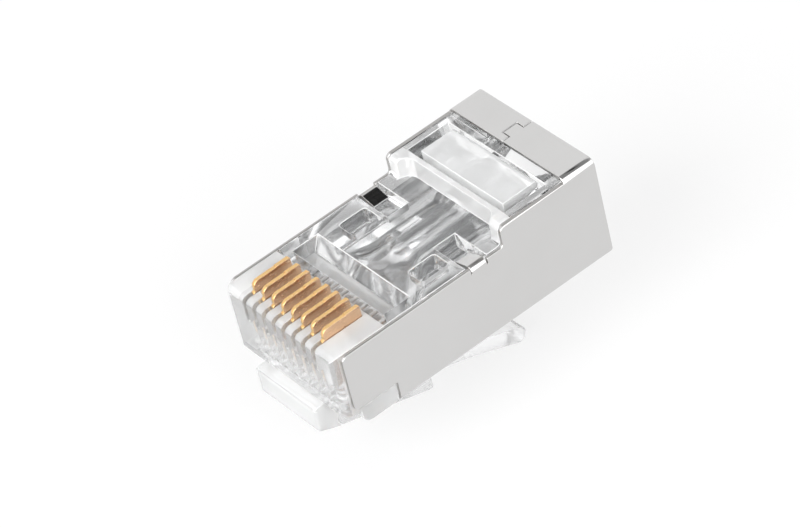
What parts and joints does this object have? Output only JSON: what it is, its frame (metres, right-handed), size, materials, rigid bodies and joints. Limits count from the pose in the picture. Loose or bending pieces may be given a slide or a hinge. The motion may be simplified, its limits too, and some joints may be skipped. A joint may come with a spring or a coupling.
{
  "type": "rj45 modular plug",
  "caption": "Shielded modular plug, uncrimped: clear stepped housing with a comb of gold blade contacts, a sprung latch, strain-relief bars and a folded nickel-plated shield.",
  "frame": {"origin": "on the plane of the nose face, mid width, level with the underside of the body", "axes": "+X across the width, +Y from the nose to the cable end, +Z from the latch side up to the contact side"},
  "size_m": [0.0116, 0.0227, 0.0141],
  "materials": {
    "clear_polycarbonate": "clear, polished moulding",
    "nickel_plate": "satin nickel plate on sheet",
    "gold_plate": "gold plate on bronze"
  },
  "bodies": {
    "body": {"housing": "clear_polycarbonate", "shield": "nickel_plate"},
    "latch": {"latch": "clear_polycarbonate"},
    "conductor_bar": {"conductor_bar": "clear_polycarbonate"},
    "jacket_bar": {"jacket_bar": "clear_polycarbonate"},
    "contact_1": {"contact_1": "gold_plate"},
    "contact_2": {"contact_2": "gold_plate"},
    "contact_3": {"contact_3": "gold_plate"},
    "contact_4": {"contact_4": "gold_plate"},
    "contact_5": {"contact_5": "gold_plate"},
    "contact_6": {"contact_6": "gold_plate"},
    "contact_7": {"contact_7": "gold_plate"},
    "contact_8": {"contact_8": "gold_plate"}
  },
  "joints": [
    {"name": "latch_press", "type": "hinge", "parent": "body", "child": "latch", "pos_m": [0, 0.00135, -0.0009], "axis": [1, 0, 0], "range_deg": [0, 15], "stiffness_Nm_per_rad": 0.3},
    {"name": "conductor_bar_crimp", "type": "hinge", "parent": "body", "child": "conductor_bar", "pos_m": [0, 0.00627, 0.00495], "axis": [1, 0, 0], "range_deg": [0, 25]},
    {"name": "jacket_bar_crimp", "type": "hinge", "parent": "body", "child": "jacket_bar", "pos_m": [0, 0.0182, 0.00737], "axis": [1, 0, 0], "range_deg": [0, 30]},
    {"name": "contact_1_crimp", "type": "slide", "parent": "body", "child": "contact_1", "axis": [0, 0, -1], "range_m": [0, 0.00115]},
    {"name": "contact_2_crimp", "type": "slide", "parent": "body", "child": "contact_2", "axis": [0, 0, -1], "range_m": [0, 0.00115]},
    {"name": "contact_3_crimp", "type": "slide", "parent": "body", "child": "contact_3", "axis": [0, 0, -1], "range_m": [0, 0.00115]},
    {"name": "contact_4_crimp", "type": "slide", "parent": "body", "child": "contact_4", "axis": [0, 0, -1], "range_m": [0, 0.00115]},
    {"name": "contact_5_crimp", "type": "slide", "parent": "body", "child": "contact_5", "axis": [0, 0, -1], "range_m": [0, 0.00115]},
    {"name": "contact_6_crimp", "type": "slide", "parent": "body", "child": "contact_6", "axis": [0, 0, -1], "range_m": [0, 0.00115]},
    {"name": "contact_7_crimp", "type": "slide", "parent": "body", "child": "contact_7", "axis": [0, 0, -1], "range_m": [0, 0.00115]},
    {"name": "contact_8_crimp", "type": "slide", "parent": "body", "child": "contact_8", "axis": [0, 0, -1], "range_m": [0, 0.00115]}
  ]
}
